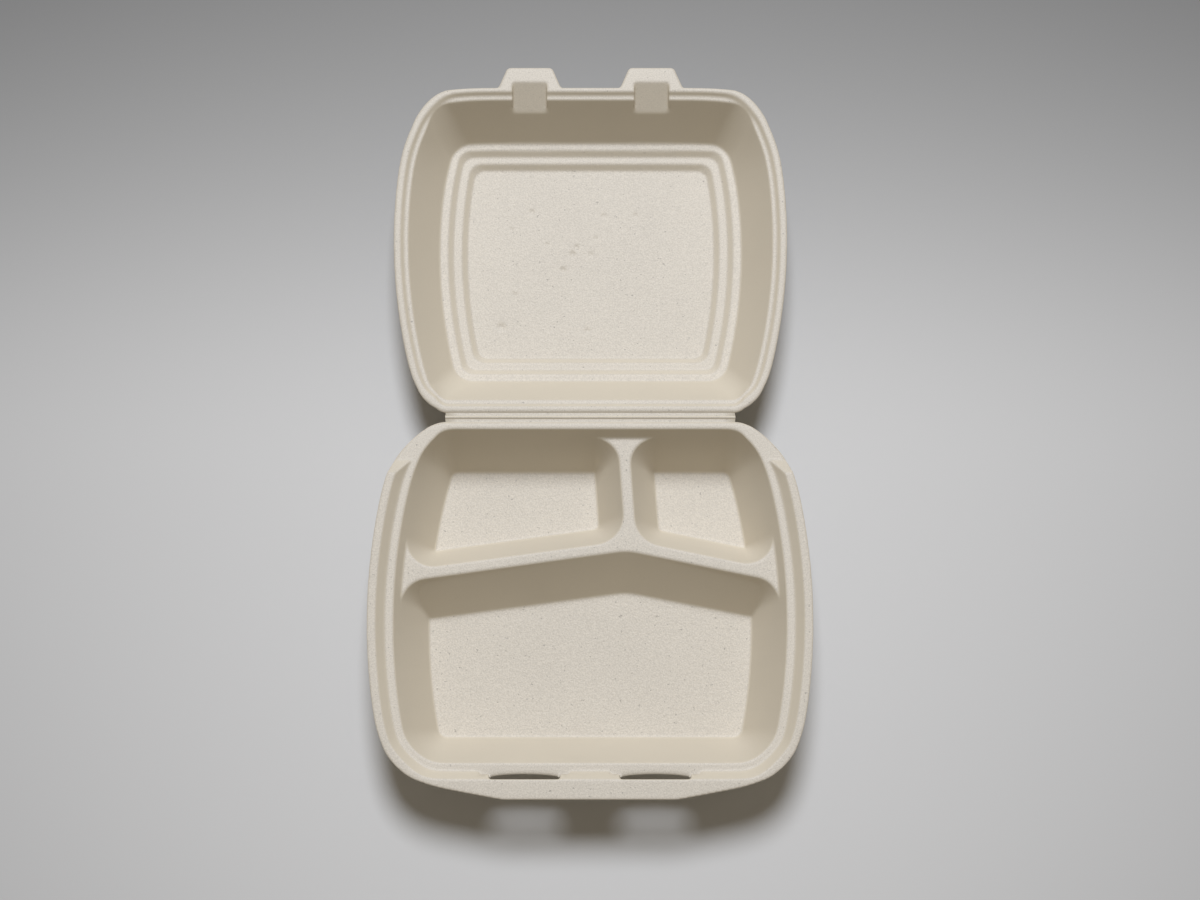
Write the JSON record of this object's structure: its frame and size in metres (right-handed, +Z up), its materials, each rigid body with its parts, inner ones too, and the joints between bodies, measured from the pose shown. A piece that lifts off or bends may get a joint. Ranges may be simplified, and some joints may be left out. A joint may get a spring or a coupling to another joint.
{
  "type": "hinged food container",
  "caption": "Foam clamshell food container, shown open: a tray divided into rooms by low walls and a lid with a stepped panel and latch tabs.",
  "frame": {"origin": "on the table, midway between the sides and midway between the lip and the tips of the latch tabs, with the lid laid open", "axes": "+X to the right of someone at the tray's lip, +Y from the tray to the open lid, +Z up"},
  "size_m": [0.2144, 0.37, 0.0392],
  "materials": {
    "foam": "pressed foam sheet, matt, finely speckled"
  },
  "bodies": {
    "tray": {"tray": "foam"},
    "spine": {"hinge_strip": "foam"},
    "lid": {"lid": "foam"}
  },
  "joints": [
    {"name": "tray_fold", "type": "hinge", "parent": "tray", "child": "spine", "pos_m": [0, 0.00005, 0.0326], "axis": [1, 0, 0], "range_deg": [0, 90]},
    {"name": "lid_fold", "type": "hinge", "parent": "spine", "child": "lid", "pos_m": [0, 0.00325, 0.0326], "axis": [1, 0, 0], "range_deg": [0, 90]}
  ],
  "couplings": [
    {"joint": "tray_fold", "follows": "lid_fold", "ratio": 1}
  ]
}
